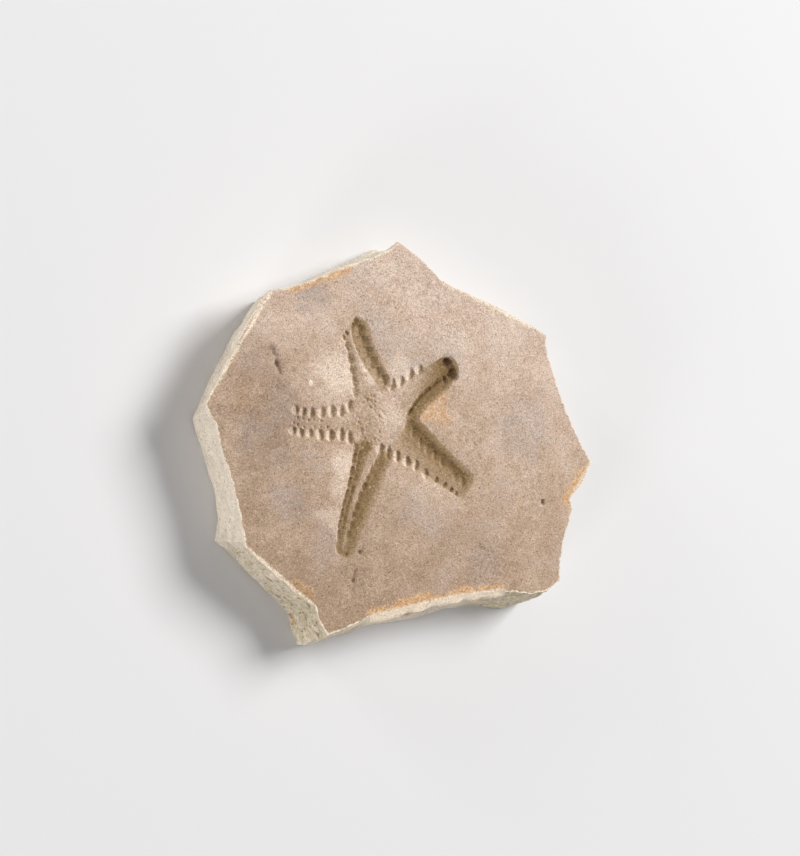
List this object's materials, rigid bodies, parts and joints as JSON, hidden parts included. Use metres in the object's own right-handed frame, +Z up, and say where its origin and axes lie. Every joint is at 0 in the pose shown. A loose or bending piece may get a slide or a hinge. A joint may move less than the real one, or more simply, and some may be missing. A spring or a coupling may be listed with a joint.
{
  "type": "fossil starfish slab",
  "caption": "Broken slab of fine sandstone lying face up, with the hollow natural mould of a starfish in its bedding face.",
  "frame": {"origin": "middle of the underside, on the surface that the slab lies on", "axes": "+Z up out of the bedding face that holds the fossil; +X along the slab's length and +Y across it, with the slab's pointed corner at +Y"},
  "size_m": [0.1119, 0.1003, 0.0144],
  "materials": {
    "sandstone": "matte"
  },
  "bodies": {
    "root": {"slab": "sandstone"}
  },
  "joints": []
}
